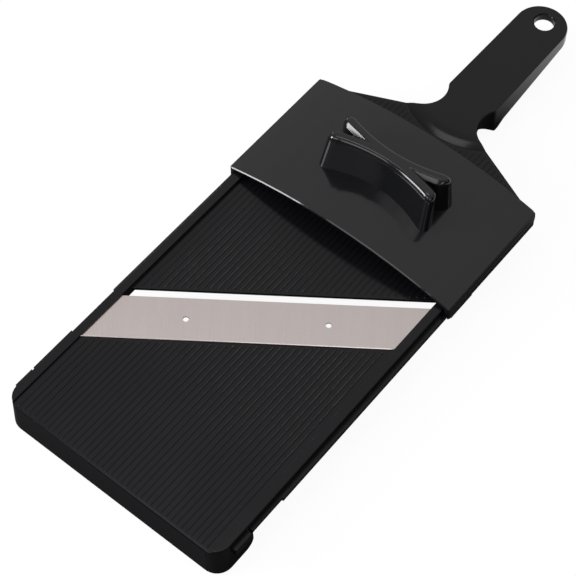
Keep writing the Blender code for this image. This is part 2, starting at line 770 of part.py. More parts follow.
def make_guard_plate(material):
    plate = extruded("guard_plate", guard_section(), -GUARD_END, -GUARD_REST, PARTS, FRONT_VIEW)
    round_rim(plate, GUARD_REST, GUARD_EDGE_ROUND, 2, axis=1)
    join(plate, guard_toe(1, RIGHT_TOE_OFFSET, RIGHT_TOE_LENGTH, "right_toe"))
    join(plate, guard_toe(-1, LEFT_TOE_OFFSET, LEFT_TOE_LENGTH, "left_toe"))
    corners = rounded_rectangle(GUARD_HALF, GUARD_REST, GUARD_END, GUARD_FRONT_CORNER, GUARD_REAR_CORNER)
    keep(plate, extruded("guard_corners", corners, -FRONT_DEPTH, ARCH_TOP + OVERRUN, CUTTERS))
    for x, side in grip_screw_places():
        screw_hole(plate, x, "plate_hole_" + side)
    dress(plate, material)


def grip_face(x):
    """Half the grip's depth at its base: least at the waist."""
    swell = (GRIP_END_DEPTH - GRIP_WAIST_DEPTH) / 2
    return GRIP_WAIST_DEPTH / 2 + swell * (x / (GRIP_LENGTH / 2)) ** 2


def grip_outline():
    """The bow-tie: from the right notch round its end to the waist, and mirrored twice."""
    end, inner = GRIP_LENGTH / 2, GRIP_NOTCH_WIDTH / 2
    radius = GRIP_END_ROUND_SHARE * (GRIP_END_DEPTH / 2 - inner)
    notch_lean = math.degrees(math.atan2(inner, end - GRIP_NOTCH_START))
    turn = end - radius
    slope = (GRIP_END_DEPTH - GRIP_WAIST_DEPTH) * turn / end**2
    face_lean = math.degrees(math.atan(slope))
    steps = ARC_STEPS // 2
    outer_centre = (turn, grip_face(turn) - radius * math.hypot(1, slope))
    quarter = [(GRIP_NOTCH_START, 0)]
    quarter += arc((turn, inner + radius), radius, notch_lean - 90, 0, steps)
    quarter += arc(outer_centre, radius, 0, 90 + face_lean, steps)
    start = end - 2 * radius
    for i in range(ARC_STEPS + 1):
        x = start * (1 - i / ARC_STEPS)
        quarter.append((x, grip_face(x)))
    back = quarter + [(-x, y) for x, y in reversed(quarter[:-1])]
    front = [(x, -y) for x, y in reversed(back[1:-1])]
    return [(GRIP_OFFSET + x, GUARD_MIDDLE + y) for x, y in back + front]


def arch_block(name, half, drop):
    """A long cutter whose upper face follows the arch."""
    points = [(-half, -FRONT_DEPTH), (half, -FRONT_DEPTH), *arch_line(half, drop)]
    return extruded(name, points, -GUARD_END, -GUARD_REST, CUTTERS, FRONT_VIEW)


def make_grip(material):
    """Two curved walls that merge at a narrow waist."""
    top = ARCH_TOP + GRIP_HEIGHT
    base = arch_height(GRIP_LENGTH / 2) - OVERRUN
    grip = extruded("guard_grip", grip_outline(), base, top, PARTS)
    taper(grip, base, top, (GRIP_OFFSET, GUARD_MIDDLE), GRIP_TOP_LENGTH_SHARE, GRIP_TOP_DEPTH_SHARE)
    round_rim(grip, top, GRIP_TOP_ROUND, 4)
    cut(grip, arch_block("grip_seat", GRIP_LENGTH, -GAP))
    for x, side in grip_screw_places():
        low = arch_height(x) - OVERRUN
        high = screw_seat(x) + GRIP_SCREW_LENGTH + GAP
        radius = GRIP_SCREW_DIAMETER / 2 + PRESS_GAP
        cut(grip, cylinder("grip_bore_" + side, radius, low, high, (x, GUARD_MIDDLE, 0)))
    dress(grip, material)


# Pin carrier, pins and screws


def pin_places():
    """Two rows of four pins, and two pins in the row between them."""
    outer = [(i - (PIN_COLUMNS - 1) / 2) * PIN_COLUMN_PITCH for i in range(PIN_COLUMNS)]
    inner = [-PIN_COLUMN_PITCH, PIN_COLUMN_PITCH]
    rows = ((-PIN_ROW_PITCH, outer), (0, inner), (PIN_ROW_PITCH, outer))
    return [(x, GUARD_MIDDLE + y) for y, row in rows for x in row]


def carrier_top(x):
    return arch_height(x) - GUARD_THICKNESS - GAP


def pin_seat(x, y, name):
    """The hole for a pin, with a counterbore for its head."""
    top = carrier_top(x)
    sink = top - PIN_HEAD_HEIGHT - 2 * GAP
    hole, seat = PIN_DIAMETER / 2 + PRESS_GAP, PIN_HEAD_DIAMETER / 2 + GAP
    profile = [(0, top + OVERRUN), (seat, top + OVERRUN), (seat, sink)]
    profile += [(hole, sink), (hole, -SIDE_DEPTH), (0, -SIDE_DEPTH)]
    return turned(name, profile, SCREW_STEPS, (x, y, 0), CUTTERS)


def make_carrier(material):
    """The arched pad under the guard plate that holds the pins."""
    low = GUARD_MIDDLE - CARRIER_LENGTH / 2
    outline = rounded_rectangle(CARRIER_WIDTH / 2, low, low + CARRIER_LENGTH, CARRIER_CORNER, CARRIER_CORNER)
    carrier = extruded("pin_carrier", outline, -SIDE_DEPTH, ARCH_TOP, PARTS)
    drop = GUARD_THICKNESS + GAP
    keep(carrier, arch_block("carrier_top", CARRIER_WIDTH, drop))
    cut(carrier, arch_block("carrier_under", CARRIER_WIDTH - OVERRUN, drop + CARRIER_THICKNESS))
    for i, (x, y) in enumerate(pin_places()):
        cut(carrier, pin_seat(x, y, f"pin_seat_{i + 1:02d}"))
    for x, side in grip_screw_places():
        screw_hole(carrier, x, "carrier_hole_" + side)
    dress(carrier, material)


def make_pins(material):
    """Each pin hangs by its head and ends in a point above the tables."""
    head, radius, point = PIN_HEAD_DIAMETER / 2, PIN_DIAMETER / 2, PIN_POINT_DIAMETER / 2
    profile = [(0, 0), (head, 0), (head, -PIN_HEAD_HEIGHT), (radius, -PIN_HEAD_HEIGHT)]
    profile += [(radius, PIN_POINT - PIN_LENGTH), (point, -PIN_LENGTH), (0, -PIN_LENGTH)]
    for i, (x, y) in enumerate(pin_places()):
        place = (x, y, carrier_top(x) - GAP)
        dress(turned(f"pin_{i + 1:02d}", profile, SCREW_STEPS, place, PARTS), material)


def screw_seat(x):
    """The height at which a grip screw's head bears on the carrier."""
    return carrier_top(abs(x) + GRIP_SCREW_HEAD_DIAMETER / 2) - CARRIER_THICKNESS - GAP


def make_grip_screws(material):
    """Pan-headed screws from below, through the carrier and the plate into the grip."""
    radius, head, height = GRIP_SCREW_DIAMETER / 2, GRIP_SCREW_HEAD_DIAMETER / 2, GRIP_SCREW_HEAD_HEIGHT
    crown = height * SCREW_CROWN_SHARE
    profile = [(0, GRIP_SCREW_LENGTH), (radius * SCREW_TIP_SHARE, GRIP_SCREW_LENGTH)]
    profile += [(radius, GRIP_SCREW_LENGTH - radius), (radius, 0), (head, 0)]
    profile += [(head, crown - height), (head - crown, -height), (0, -height)]
    for x, side in grip_screw_places():
        place = (x, GUARD_MIDDLE, screw_seat(x))
        dress(turned("grip_screw_" + side, profile, SCREW_STEPS, place, PARTS), material)


def build():
    board_plastic = plastic("black board plastic", (0.012, 0.012, 0.014), 0.34)
    guard_plastic = plastic("black guard plastic", (0.010, 0.010, 0.012), 0.14)
    blade_steel = steel("satin blade steel", (0.62, 0.60, 0.585), 0.32)
    bright_steel = steel("bright steel", (0.70, 0.69, 0.68), 0.22)
    make_board(board_plastic)
    make_blade(blade_steel)
    make_guard_plate(guard_plastic)
    make_grip(guard_plastic)
    make_carrier(guard_plastic)
    make_pins(bright_steel)
    make_grip_screws(bright_steel)
    print(f"guard travel {GUARD_TRAVEL:.4f} m")


build()
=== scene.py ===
"""Looks of the cabbage slicer: black board, slanted blade, sliding guard with its grip."""

import math

import bmesh
import bpy
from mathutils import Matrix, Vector


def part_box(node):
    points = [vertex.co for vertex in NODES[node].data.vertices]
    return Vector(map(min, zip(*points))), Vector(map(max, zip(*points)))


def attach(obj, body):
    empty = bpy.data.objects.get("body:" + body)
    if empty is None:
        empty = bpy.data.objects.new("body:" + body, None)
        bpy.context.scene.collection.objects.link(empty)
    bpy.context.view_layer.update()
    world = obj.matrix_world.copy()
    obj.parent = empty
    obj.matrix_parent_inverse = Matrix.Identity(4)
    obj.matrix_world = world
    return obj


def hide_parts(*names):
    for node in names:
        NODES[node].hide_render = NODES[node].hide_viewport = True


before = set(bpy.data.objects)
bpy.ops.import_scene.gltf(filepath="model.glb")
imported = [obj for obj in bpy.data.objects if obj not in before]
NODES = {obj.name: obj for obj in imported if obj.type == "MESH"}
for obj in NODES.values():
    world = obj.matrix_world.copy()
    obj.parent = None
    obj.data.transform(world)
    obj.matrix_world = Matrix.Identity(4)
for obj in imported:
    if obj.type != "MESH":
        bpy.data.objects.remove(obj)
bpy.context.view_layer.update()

# Camera, fitted to the photograph's edges
CAMERA_TARGET = Vector((-0.00075, -0.05353, 0.0217))
CAMERA_DISTANCE = 0.94377
CAMERA_AZIMUTH = math.radians(38.943)
CAMERA_ELEVATION = math.radians(57.237)
CAMERA_LENS = 110.64
CAMERA_SENSOR = 36.0

# Floor: white to the camera, and mirrored as white only behind the handle
FLOOR_SIZE = 4.0
FLOOR_COLOUR = (0.08, 0.08, 0.08)
FLOOR_ROUGHNESS = 0.8
FLOOR_WHITE = 0.94
FLOOR_MIRRORED = 0.90
FLOOR_MIRRORED_WAY = (0.6, 0.8, 0.0)
FLOOR_MIRRORED_FROM = 0.11
FLOOR_MIRRORED_TO = 0.17

# Studio: the darker of two gradients, each a level and the way it brightens
STUDIO_LEVEL = 0.31
STUDIO_LEAN = (-0.05, 0.34, 0.25)
STUDIO_RIGHT_LEVEL = 0.72
STUDIO_RIGHT_LEAN = (-0.90, 0.0, 0.25)
STUDIO_LOWEST = 0.04

# Lamps: name, direction from the object, width, and the brightness that a mirror would show
LAMP_DISTANCE = 1.6
LAMPS = (
    ("top box", (-0.20, -0.05, 0.98), 0.55, 2.5),
    ("left box", (-0.90, 0.34, 0.20), 0.2, 9.0),
    ("front left box", (-0.62, -0.68, 0.38), 0.55, 16.0),
    ("front box", (-0.16, -0.83, 0.53), 0.65, 2.4),
    ("near box", (0.47, -0.71, 0.52), 0.5, 2.4),
    ("right box", (0.75, 0.35, 0.55), 0.2, 3.0),
)

# Colours, each a darker and a lighter tone
BOARD_BLACKS = ((0.0060, 0.0060, 0.0075), (0.0075, 0.0075, 0.0090))
GUARD_BLACKS = ((0.0090, 0.0092, 0.0108), (0.0105, 0.0107, 0.0123))
BLADE_STEELS = ((0.625, 0.555, 0.540), (0.665, 0.590, 0.575))
PIN_STEELS = ((0.66, 0.65, 0.64), (0.72, 0.71, 0.70))

# Plastics: specular level, lowest and highest roughness, grain and its strength
BOARD_SPECULAR = 0.25
BOARD_ROUGH = (0.13, 0.19)
BOARD_GRAIN = 2400
BOARD_BUMP = 0.15
GUARD_SPECULAR = 0.45
GUARD_ROUGH = (0.09, 0.13)
GUARD_GRAIN = 1200
GUARD_BUMP = 0.08
GRAIN_DEPTH = 0.00002
PATCH_SCALE = 22.0

# Steels: lowest and highest roughness, the lines' turn, number across and along, and strength
BLADE_ROUGH = (0.27, 0.33)
BLADE_TURN = math.radians(-36)
BLADE_LINES = (2200, 50)
BLADE_BUMP = 0.15
PIN_ROUGH = (0.18, 0.28)
PIN_TURN = 0
PIN_LINES = (900, 900)
PIN_BUMP = 0.2
LINE_DEPTH = 0.000004
BAND_SCALE = 0.08

# Range that the noise textures fill
NOISE_LOW = 0.3
NOISE_HIGH = 0.7

# Meshes
WELD = 0.000002
FLAT = math.radians(0.3)
SHARP = math.radians(25)
NORMAL_WEIGHT = 100
ROUND_SEGMENTS = 2
BOARD_ROUND = 0.00012
CARRIER_ROUND = 0.00015

# Root of the handle, where the board slopes up from the entry table
ROOT_CENTRE = 0.1248
ROOT_RADIUS = 0.046
ROOT_RUN = 0.0095
ROOT_TOP = 0.0227
ROOT_DROP = 0.0019
ROOT_STEP = 0.0004
ROOT_NEAR = ROOT_STEP / 8
ROOT_LOWER = 0.9 * ROOT_STEP
ROOT_LAST_SHARE = 1.01

# Blade
BLADE_SLOPE = math.tan(math.radians(36.0))
BLADE_CHAMFER = 0.0004
BLADE_ROUND = 0.00006

# Guard plate: its edges, the normals that mark its end chamfers, and its arch
PLATE_ROUND = 0.00015
PLATE_CHAMFER = 0.0005
CHAMFER_RISE = 0.5
CHAMFER_TILT = (0.6, 0.8)
ARCH_RISE = 0.010
ARCH_INSET = 0.0013
ARCH_SKIN = 0.0018
ARCH_STEPS = 10
ARCH_CUTS = 60
ARCH_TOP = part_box("guard_plate")[1].z
ARCH_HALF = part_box("guard_plate")[1].x - ARCH_INSET
ARCH_RADIUS = (ARCH_HALF**2 + ARCH_RISE**2) / (2 * ARCH_RISE)

# Grip: sections along each wall and rows across it, then its sizes
GRIP_SECTIONS = 47
GRIP_ROWS = 23
GRIP_FACET_ROWS = 6
GRIP_FACET_END = GRIP_FACET_ROWS * 2 / (GRIP_ROWS + 1) - 1
GRIP_HALF = 0.0370
GRIP_SHIFT = 0.0008
GRIP_LEAN = 0.0010
GRIP_LEAN_BACK = 0.0010
GRIP_WAIST = 0.0132
GRIP_SPREAD = 6.8
GRIP_CAP = 0.0064
GRIP_CAP_POWER = 2.0
GRIP_CAP_LEAST = 0.03
GRIP_NOTCH = 0.0142
GRIP_NOTCH_START = 0.0125
GRIP_NOTCH_LEAN = GRIP_NOTCH / 2 / (GRIP_HALF - GRIP_NOTCH_START)
GRIP_FACET = 0.0038
GRIP_FACET_SLOPE = 0.65
GRIP_TOP_ROUND = 0.0034
GRIP_BELOW_ARCH = 0.004
GRIP_SEAT_GAP = 0.00005
GRIP_TOP_DEPTH_SHARE = 0.70
GRIP_TOP_LENGTH_SHARE = 0.945


# Shader nodes


def new_material(name):
    """A material with nodes, and its node tree."""
    material = bpy.data.materials.new(name)
    material.use_nodes = True
    return material, material.node_tree


def new_node(tree, kind, **values):
    """A shader node with its settings."""
    node = tree.nodes.new(kind)
    for name, value in values.items():
        setattr(node, name, value)
    return node


def new_group(name, inputs, outputs):
    """A shader group with float inputs that have defaults, and float outputs."""
    tree = bpy.data.node_groups.new(name, "ShaderNodeTree")
    for label, value in inputs:
        socket = tree.interface.new_socket(label, in_out="INPUT", socket_type="NodeSocketFloat")
        socket.default_value = value
    for label in outputs:
        tree.interface.new_socket(label, in_out="OUTPUT", socket_type="NodeSocketFloat")
    return tree, tree.nodes.new("NodeGroupInput"), tree.nodes.new("NodeGroupOutput")


def spread_noise(tree):
    """A node that spreads the range of a noise over two given values."""
    spread = new_node(tree, "ShaderNodeMapRange")
    spread.inputs["From Min"].default_value = NOISE_LOW
    spread.inputs["From Max"].default_value = NOISE_HIGH
    return spread


def grain_group():
    """Fine moulded grain, with broad and faint changes of gloss and tone."""
    tree, given, result = new_group(
        "moulded_grain",
        [("Grain Scale", 1.0), ("Patch Scale", PATCH_SCALE), ("Rough Low", 0.0), ("Rough High", 1.0)],
        ["Height", "Roughness", "Tone"],
    )
    place = tree.nodes.new("ShaderNodeTexCoord")
    grain = new_node(tree, "ShaderNodeTexNoise")
    patch = new_node(tree, "ShaderNodeTexNoise")
    spread = spread_noise(tree)
    tree.links.new(place.outputs["Object"], grain.inputs["Vector"])
    tree.links.new(place.outputs["Object"], patch.inputs["Vector"])
    tree.links.new(given.outputs["Grain Scale"], grain.inputs["Scale"])
    tree.links.new(given.outputs["Patch Scale"], patch.inputs["Scale"])
    tree.links.new(patch.outputs["Fac"], spread.inputs["Value"])
    tree.links.new(given.outputs["Rough Low"], spread.inputs["To Min"])
    tree.links.new(given.outputs["Rough High"], spread.inputs["To Max"])
    tree.links.new(grain.outputs["Fac"], result.inputs["Height"])
    tree.links.new(spread.outputs["Result"], result.inputs["Roughness"])
    tree.links.new(patch.outputs["Fac"], result.inputs["Tone"])
    return tree


def lines_group():
    """Fine straight lines, as grinding or rubbing leaves them, turned about the upright axis."""
    tree, given, result = new_group(
        "fine_lines",
        [("Turn", 0.0), ("Across", 1.0), ("Along", 1.0)],
        ["Lines", "Bands"],
    )
    place = tree.nodes.new("ShaderNodeTexCoord")
    turn = tree.nodes.new("ShaderNodeCombineXYZ")
    stretch = tree.nodes.new("ShaderNodeCombineXYZ")
    turned = new_node(tree, "ShaderNodeMapping")
    stretched = new_node(tree, "ShaderNodeVectorMath", operation="MULTIPLY")
    lines = new_node(tree, "ShaderNodeTexNoise")
    lines.inputs["Scale"].default_value = 1.0
    bands = new_node(tree, "ShaderNodeTexNoise")
    bands.inputs["Scale"].default_value = BAND_SCALE
    tree.links.new(given.outputs["Turn"], turn.inputs["Z"])
    tree.links.new(turn.outputs["Vector"], turned.inputs["Rotation"])
    tree.links.new(place.outputs["Object"], turned.inputs["Vector"])
    tree.links.new(given.outputs["Across"], stretch.inputs["X"])
    tree.links.new(given.outputs["Along"], stretch.inputs["Y"])
    tree.links.new(given.outputs["Along"], stretch.inputs["Z"])
    tree.links.new(turned.outputs["Vector"], stretched.inputs[0])
    tree.links.new(stretch.outputs["Vector"], stretched.inputs[1])
    tree.links.new(stretched.outputs["Vector"], lines.inputs["Vector"])
    tree.links.new(stretched.outputs["Vector"], bands.inputs["Vector"])
    tree.links.new(lines.outputs["Fac"], result.inputs["Lines"])
    tree.links.new(bands.outputs["Fac"], result.inputs["Bands"])
    return tree


def use_group(tree, group, **values):
    """A shared group placed in a material, with its own values."""
    node = new_node(tree, "ShaderNodeGroup", node_tree=group)
    for label, value in values.items():
        node.inputs[label.replace("_", " ")].default_value = value
    return node


def two_tones(tree, factor, dark, light):
    """A colour between two, chosen by a factor that changes over the surface."""
    mix = new_node(tree, "ShaderNodeMix", data_type="RGBA")
    mix.inputs["A"].default_value = (*dark, 1)
    mix.inputs["B"].default_value = (*light, 1)
    tree.links.new(factor, mix.inputs["Factor"])
    return mix.outputs["Result"]


def surface_bump(tree, height, distance, strength):
    """A normal that follows a fine height."""
    bump = new_node(tree, "ShaderNodeBump")
    bump.inputs["Strength"].default_value = strength
    bump.inputs["Distance"].default_value = distance
    tree.links.new(height, bump.inputs["Height"])
    return bump.outputs["Normal"]


def black_plastic(name, group, colours, specular, rough, grain, bump):
    """Moulded black plastic with a fine grain."""
    material, tree = new_material(name)
    shader = tree.nodes["Principled BSDF"]
    shader.inputs["Specular IOR Level"].default_value = specular
    finish = use_group(tree, group, Grain_Scale=grain, Rough_Low=rough[0], Rough_High=rough[1])
    tone = two_tones(tree, finish.outputs["Tone"], *colours)
    normal = surface_bump(tree, finish.outputs["Height"], GRAIN_DEPTH, bump)
    tree.links.new(tone, shader.inputs["Base Color"])
    tree.links.new(finish.outputs["Roughness"], shader.inputs["Roughness"])
    tree.links.new(normal, shader.inputs["Normal"])
    return material


def ground_steel(name, group, colours, rough, turn, density, bump):
    """Steel with fine grinding lines that change its gloss and tone a little."""
    material, tree = new_material(name)
    shader = tree.nodes["Principled BSDF"]
    shader.inputs["Metallic"].default_value = 1
    ground = use_group(tree, group, Turn=turn, Across=density[0], Along=density[1])
    gloss = spread_noise(tree)
    gloss.inputs["To Min"].default_value = rough[0]
    gloss.inputs["To Max"].default_value = rough[1]
    tone = two_tones(tree, ground.outputs["Bands"], *colours)
    normal = surface_bump(tree, ground.outputs["Lines"], LINE_DEPTH, bump)
    tree.links.new(ground.outputs["Lines"], gloss.inputs["Value"])
    tree.links.new(gloss.outputs["Result"], shader.inputs["Roughness"])
    tree.links.new(tone, shader.inputs["Base Color"])
    tree.links.new(normal, shader.inputs["Normal"])
    return material


# Meshes


def node_copy(node):
    """A node's mesh with its doubles merged and its flat triangles joined."""
    work = bmesh.new()
    work.from_mesh(NODES[node].data)
    bmesh.ops.remove_doubles(work, verts=work.verts, dist=WELD)
    bmesh.ops.dissolve_limit(work, angle_limit=FLAT, verts=work.verts, edges=work.edges)
    return work


def sharp_edges(work):
    """The edges between faces that meet at a clear angle."""
    return [e for e in work.edges if len(e.link_faces) == 2 and e.calc_face_angle() > SHARP]


def round_edges(work, edges, width, segments):
    """Bevels the edges and gives the new faces."""
    result = bmesh.ops.bevel(
        work,
        geom=edges,
        offset=width,
        offset_type="OFFSET",
        segments=segments,
        profile=0.5,
        affect="EDGES",
        clamp_overlap=False,
        material=-1,
    )
    return set(result["faces"])


def finished(work, name, body, slot, material, *replaced):
    """Turns a mesh into a piece that rides on a body and stands for its nodes."""
    mesh = bpy.data.meshes.new(name)
    bmesh.ops.recalc_face_normals(work, faces=work.faces)
    work.to_mesh(mesh)
    work.free()
    mesh.shade_smooth()
    mesh.materials.append(material)
    piece = bpy.data.objects.new(name, mesh)
    bpy.context.scene.collection.objects.link(piece)
    even = piece.modifiers.new("even normals", "WEIGHTED_NORMAL")
    even.weight = NORMAL_WEIGHT
    even.keep_sharp = True
    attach(piece, body)
    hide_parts(*replaced)
    return piece


def make_board(material):
    """The board with its edges broken by the mould, and a root that runs out into the table."""
    work = node_copy("board")
    for vertex in work.verts:
        share = (math.hypot(vertex.co.x, vertex.co.y - ROOT_CENTRE) - ROOT_RADIUS) / ROOT_RUN + 1
        on_slope = abs(vertex.co.z - ROOT_TOP + ROOT_DROP * share**2) < ROOT_NEAR
        if on_slope and 0 < share < ROOT_LAST_SHARE and vertex.co.y < ROOT_CENTRE:
            vertex.co.z -= ROOT_LOWER * share**2
    round_edges(work, sharp_edges(work), BOARD_ROUND, ROUND_SEGMENTS)
    finished(work, "moulded_board", "board_body", "board_plastic", material, "board")


def crisp_borders(chamfer):
    """Keeps a chamfer's shading apart from that of its neighbours."""
    for edge in {e for f in chamfer for e in f.edges}:
        edge.smooth = all(f in chamfer for f in edge.link_faces)


def round_others(work, chamfer, width, segments):
    """Rounds the sharp edges that don't border a chamfer."""
    others = [e for e in sharp_edges(work) if not any(f in chamfer for f in e.link_faces)]
    round_edges(work, others, width, segments)


def make_blade(material):
    """The blade with a chamfer along its back, the long edge towards the foot, and the others broken."""
    work = node_copy("blade")
    top = max(v.co.z for v in work.verts)
    back = min(v.co.y - BLADE_SLOPE * v.co.x for v in work.verts)

    def on_back(vertex):
        return vertex.co.z > top - WELD and vertex.co.y - BLADE_SLOPE * vertex.co.x < back + WELD

    back_edges = [e for e in work.edges if all(on_back(v) for v in e.verts)]
    chamfer = round_edges(work, back_edges, BLADE_CHAMFER, 1)
    crisp_borders(chamfer)
    round_others(work, chamfer, BLADE_ROUND, 1)
    finished(work, "ground_blade", "board_body", "blade_steel", material, "blade")


def arch_height(x):
    """The height of the true arch at x."""
    return ARCH_TOP - ARCH_RADIUS + math.sqrt(ARCH_RADIUS**2 - x**2)


def chord_drop(x):
    """How far the node's straight facets lie below the true arch at x."""
    step = 2 * math.asin(ARCH_HALF / ARCH_RADIUS) / ARCH_STEPS
    angle = math.asin(x / ARCH_RADIUS)
    middle = (math.floor(angle / step) + 0.5) * step
    facet = ARCH_RADIUS * math.cos(step / 2) / math.cos(angle - middle)
    return (ARCH_RADIUS - facet) * math.cos(angle)


def make_plate(material):
    """The guard plate with a smooth arch, flat chamfers at both ends and its other edges rounded."""
    work = node_copy("guard_plate")
    skin = [v for v in work.verts if v.co.z > arch_height(v.co.x) - ARCH_SKIN / 2]
    front, rear = min(v.co.y for v in skin), max(v.co.y for v in skin)
    for vertex in skin:
        from_end = min(vertex.co.y - front, rear - vertex.co.y)
        if WELD < from_end < PLATE_CHAMFER / 2:
            vertex.co.y += math.copysign(PLATE_CHAMFER / 2 - from_end, rear + front - 2 * vertex.co.y)
            vertex.co.z = arch_height(vertex.co.x) - PLATE_CHAMFER / 2
    work.normal_update()
    least, most = CHAMFER_TILT
    chamfer = {f for f in work.faces if f.normal.z > CHAMFER_RISE and least < abs(f.normal.y) < most}
    crisp_borders(chamfer)
    round_others(work, chamfer, PLATE_ROUND, ROUND_SEGMENTS)
    for i in range(1, ARCH_CUTS):
        x = ARCH_HALF * (2 * i / ARCH_CUTS - 1)
        geometry = [*work.verts, *work.edges, *work.faces]
        bmesh.ops.bisect_plane(work, geom=geometry, dist=WELD, plane_co=(x, 0, 0), plane_no=(1, 0, 0))
    for vertex in work.verts:
        if abs(vertex.co.x) < ARCH_HALF:
            vertex.co.z += chord_drop(vertex.co.x)
    finished(work, "guard_shell", "guard_body", "guard_plastic", material, "guard_plate")


def cap_width(reach):
    """The share of the wall's width that is left at a share of its rounded end."""
    width = (1 - reach**GRIP_CAP_POWER)**(1 / GRIP_CAP_POWER) if reach < 1 else 0
    return max(GRIP_CAP_LEAST, width)


def edge_drop(y, centre, half, reach, cap):
    """How far the rounding of the wall's outer edge and ends lowers its top."""
    from_edge = half - abs(y - centre)
    if reach > 0:
        offset = (y - centre) / half
        ring = (abs(offset * cap)**GRIP_CAP_POWER + reach**GRIP_CAP_POWER)**(1 / GRIP_CAP_POWER)
        from_edge = (1 - ring) * GRIP_CAP
    if y < centre:
        from_edge = max(from_edge, GRIP_TOP_ROUND * (1 - 2 * reach))
    inward = min(1.0, max(0.0, from_edge) / GRIP_TOP_ROUND)
    return GRIP_TOP_ROUND * (1 - math.sqrt(1 - (1 - inward)**2))


def grip_wall(low, high):
    """One curved wall with round ends, a rounded outer edge and an inclined inner facet."""
    work = bmesh.new()
    bmesh.ops.create_cube(work, size=2)
    along = [e for e in work.edges if abs(e.verts[0].co.x - e.verts[1].co.x) > 1]
    bmesh.ops.subdivide_edges(work, edges=along, cuts=GRIP_SECTIONS, use_grid_fill=True)
    across = [e for e in work.edges if abs(e.verts[0].co.y - e.verts[1].co.y) > 1]
    bmesh.ops.subdivide_edges(work, edges=across, cuts=GRIP_ROWS, use_grid_fill=True)
    for vertex in work.verts:
        x = GRIP_HALF * math.sin(vertex.co.x * math.pi / 2)
        reach = max(0.0, abs(x) - GRIP_HALF + GRIP_CAP) / GRIP_CAP
        cap = cap_width(reach)
        outer = GRIP_WAIST / 2 + GRIP_SPREAD * x**2
        crease = GRIP_NOTCH_LEAN * (abs(x) - GRIP_NOTCH_START)
        inner = crease - GRIP_FACET
        if vertex.co.y < GRIP_FACET_END:
            share = (vertex.co.y + 1) / (GRIP_FACET_END + 1)
            y = inner + share * (crease - inner)
            facet_drop = (crease - y) * cap * GRIP_FACET_SLOPE
        else:
            share = math.sin((vertex.co.y - GRIP_FACET_END) / (1 - GRIP_FACET_END) * math.pi / 2)
            y = crease + share * (outer - crease)
            facet_drop = 0.0
        centre, half = (outer + inner) / 2, (outer - inner) / 2
        top = high - max(facet_drop, edge_drop(y, centre, half, reach, cap))
        vertex.co = (x, centre + (y - centre) * cap, top if vertex.co.z > 0 else low)
    return work


def make_grip(material):
    """Two curved walls that merge at a narrow waist, as one handle that stands on the arch."""
    box_low, box_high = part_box("guard_grip")
    middle = (box_low + box_high) / 2
    top, low = box_high.z, arch_height(GRIP_HALF) - GRIP_BELOW_ARCH
    work = grip_wall(low, top)
    bmesh.ops.bisect_plane(
        work,
        geom=[*work.verts, *work.edges, *work.faces],
        dist=WELD,
        plane_co=(0, 0, 0),
        plane_no=(0, 1, 0),
        clear_inner=True,
    )
    bmesh.ops.mirror(work, geom=[*work.verts, *work.edges, *work.faces], axis="Y", merge_dist=WELD)
    foot = box_low.z + ARCH_RISE / 2
    for vertex in work.verts:
        rise = max(0.0, (vertex.co.z - foot) / (top - foot))
        long_share = 1 + rise * (GRIP_TOP_LENGTH_SHARE - 1)
        deep_share = 1 + rise * (GRIP_TOP_DEPTH_SHARE - 1)
        vertex.co.x = middle.x + GRIP_SHIFT + vertex.co.x * long_share + rise * GRIP_LEAN
        vertex.co.y = middle.y + vertex.co.y * deep_share + rise * GRIP_LEAN_BACK
        if vertex.co.z < low + WELD:
            vertex.co.z = arch_height(vertex.co.x) + GRIP_SEAT_GAP
    finished(work, "bow_tie_grip", "guard_body", "guard_plastic", material, "guard_grip")


def make_carrier(material):
    """The pins' carrier with its edges rounded."""
    work = node_copy("pin_carrier")
    round_edges(work, sharp_edges(work), CARRIER_ROUND, ROUND_SEGMENTS)
    finished(work, "pin_pad", "guard_body", "guard_plastic", material, "pin_carrier")


def dress(node, material):
    """Gives a node that stays its material."""
    NODES[node].data.materials.clear()
    NODES[node].data.materials.append(material)


# Stage


